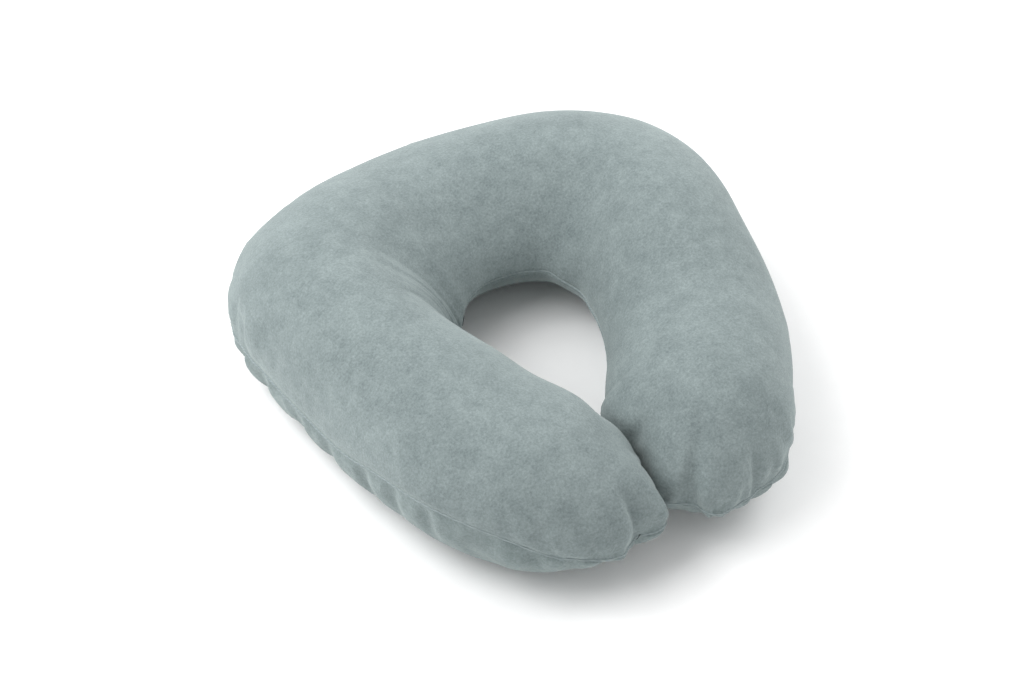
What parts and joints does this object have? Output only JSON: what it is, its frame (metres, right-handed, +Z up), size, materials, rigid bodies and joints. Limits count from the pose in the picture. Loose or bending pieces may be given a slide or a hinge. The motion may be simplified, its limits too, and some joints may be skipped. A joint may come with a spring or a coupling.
{
  "type": "u shaped neck pillow",
  "caption": "Soft U shaped travel neck pillow: moulded foam in a liner, inside a zipped grey green velour cover, with arms that spread to let the neck in.",
  "frame": {"origin": "centre of the bounding box on the floor the pillow lies on", "axes": "+Z up, away from the floor; +Y from the opening towards the back of the U; +X to the right as seen from the opening"},
  "size_m": [0.3004, 0.3338, 0.1044],
  "materials": {
    "velour_upper": "short pile polyester velour, matt with a soft sheen",
    "velour_lower": "short pile polyester velour, matt",
    "liner_knit": "thin white jersey knit",
    "memory_foam": "open cell moulded foam with a fine skin",
    "zip_tape": "woven polyester tape dyed to match",
    "zip_nylon": "moulded, satin",
    "zip_metal": "die cast zinc, enamelled to match"
  },
  "bodies": {
    "back": {"cover_upper_back": "velour_upper", "cover_lower_back": "velour_lower", "liner_back": "liner_knit", "foam_back": "memory_foam", "zip_tape_upper": "zip_tape", "zip_tape_lower": "zip_tape", "zip_teeth_upper": "zip_nylon", "zip_teeth_lower": "zip_nylon", "zip_top_stop_upper": "zip_metal", "zip_top_stop_lower": "zip_metal", "zip_bottom_stop": "zip_metal"},
    "left_arm": {"cover_upper_left_arm": "velour_upper", "cover_lower_left_arm": "velour_lower", "liner_left_arm": "liner_knit", "foam_left_arm": "memory_foam"},
    "right_arm": {"cover_upper_right_arm": "velour_upper", "cover_lower_right_arm": "velour_lower", "liner_right_arm": "liner_knit", "foam_right_arm": "memory_foam"},
    "zip_slider": {"zip_slider": "zip_metal"},
    "zip_pull": {"zip_pull_tab": "zip_metal"}
  },
  "joints": [
    {"name": "left_arm_flex", "type": "hinge", "parent": "back", "child": "left_arm", "pos_m": [-0.13301, 0.11353, 0.0376], "axis": [0, 0, -1], "range_deg": [0, 18], "stiffness_Nm_per_rad": 4},
    {"name": "right_arm_flex", "type": "hinge", "parent": "back", "child": "right_arm", "pos_m": [0.13301, 0.11353, 0.0376], "axis": [0, 0, 1], "range_deg": [0, 18], "stiffness_Nm_per_rad": 4},
    {"name": "zip_slider_travel", "type": "hinge", "parent": "back", "child": "zip_slider", "pos_m": [0, -0.02889, 0.0376], "axis": [0, 0, 1], "range_deg": [0, 39.1], "deforming": ["zip_teeth_upper", "zip_teeth_lower"]},
    {"name": "zip_pull_swing", "type": "hinge", "parent": "zip_slider", "child": "zip_pull", "pos_m": [0.06599, 0.15748, 0.0376], "axis": [0, 0, -1], "range_deg": [0, 170]}
  ]
}
